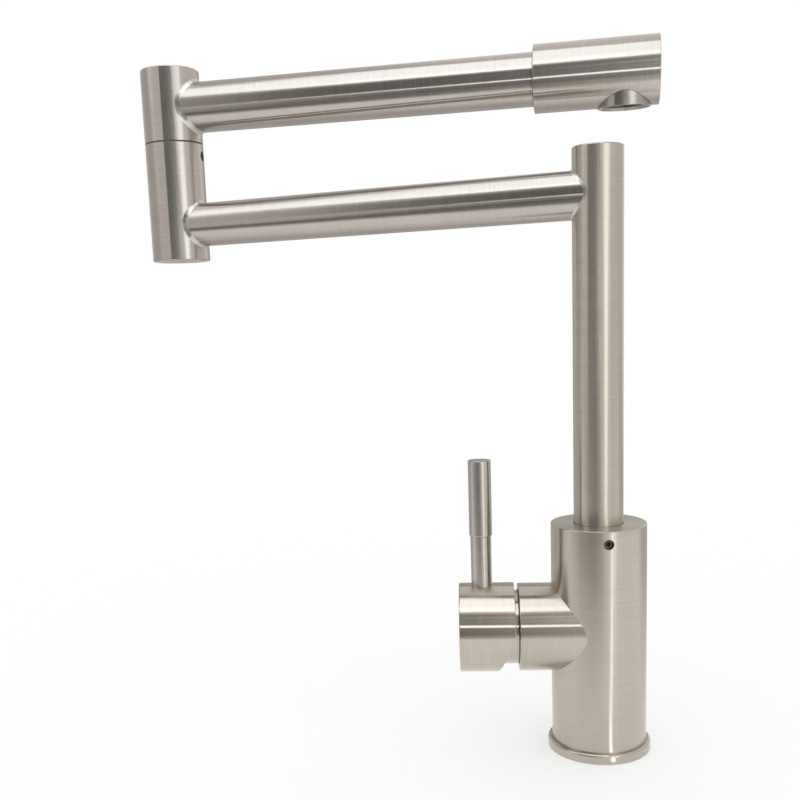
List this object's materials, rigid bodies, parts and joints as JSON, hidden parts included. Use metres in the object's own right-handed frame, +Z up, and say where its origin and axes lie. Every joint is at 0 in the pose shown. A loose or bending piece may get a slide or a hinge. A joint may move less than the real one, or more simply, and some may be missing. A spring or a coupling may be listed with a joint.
{
  "type": "folding kitchen mixer tap",
  "caption": "Deck-mounted mixer tap in brushed steel: upright body with a side lever, a slim riser, and a double-jointed folding spout ending in a wider nozzle.",
  "frame": {"origin": "centre of the flange's underside, on the worktop plane, at the mouth of the fixing stud's hole", "axes": "+Z up along the body and riser; the valve pod and lever point along -X; -Y is the side the tap is looked at from"},
  "size_m": [0.2811, 0.1101, 0.367],
  "materials": {
    "steel": "fine brushed, warm grey",
    "brass": "machined",
    "rubber": "matt black",
    "slide_plastic": "white sliding plastic",
    "cartridge_plastic": "moulded grey",
    "ceramic": "lapped ceramic",
    "screw_steel": "blackened",
    "chrome": "plated",
    "aerator_plastic": "dark grey"
  },
  "bodies": {
    "base": {"base_flange": "steel", "deck_gasket": "rubber", "body": "steel", "valve_core": "brass", "body_grub_screw": "screw_steel", "riser_slide_rings": "slide_plastic", "riser_thrust_washer": "slide_plastic", "cartridge_seals": "rubber", "cartridge_housing": "cartridge_plastic", "fixed_disc": "ceramic", "cartridge_nut": "brass", "cartridge_cover": "steel"},
    "valve_carrier": {"cartridge_carrier": "cartridge_plastic", "pivot_pin": "steel"},
    "control_disc": {"control_disc": "ceramic"},
    "lever": {"cartridge_stem": "steel", "knob": "steel", "knob_set_screw": "screw_steel", "lever_rod": "steel", "lever_grip": "steel"},
    "lower_spout": {"riser_spindle": "steel", "riser_seals": "rubber", "riser_tube": "steel", "riser_cap": "steel", "lower_arm": "steel", "lower_elbow": "steel", "lower_elbow_cap": "steel", "elbow_slide_rings": "slide_plastic", "elbow_grub_screw": "screw_steel", "elbow_thrust_washer": "rubber"},
    "upper_spout": {"elbow_spindle": "steel", "elbow_seals": "rubber", "upper_elbow": "steel", "upper_elbow_cap": "steel", "upper_arm": "steel", "nozzle": "steel", "nozzle_cap": "steel", "outlet_collar": "steel", "aerator_housing": "chrome", "aerator_insert": "aerator_plastic", "aerator_washer": "rubber"}
  },
  "joints": [
    {"name": "spout_swivel", "type": "hinge", "parent": "base", "child": "lower_spout", "pos_m": [0, 0, 0.1], "axis": [0, 0, 1], "continuous": true},
    {"name": "elbow_swivel", "type": "hinge", "parent": "lower_spout", "child": "upper_spout", "pos_m": [-0.22772, 0.06745, 0.327], "axis": [0, 0, 1], "continuous": true},
    {"name": "temperature", "type": "hinge", "parent": "base", "child": "valve_carrier", "pos_m": [-0.0436, 0, 0.0649], "axis": [1, 0, 0], "range_deg": [-45, 45]},
    {"name": "flow", "type": "hinge", "parent": "valve_carrier", "child": "lever", "pos_m": [-0.0436, 0, 0.0649], "axis": [0, -1, 0], "range_deg": [0, 23]},
    {"name": "disc_travel", "type": "slide", "parent": "valve_carrier", "child": "control_disc", "axis": [0, 0, 1], "range_m": [0, 0.0055]}
  ],
  "couplings": [
    {"joint": "disc_travel", "follows": "flow", "m_per_rad": 0.01295}
  ]
}
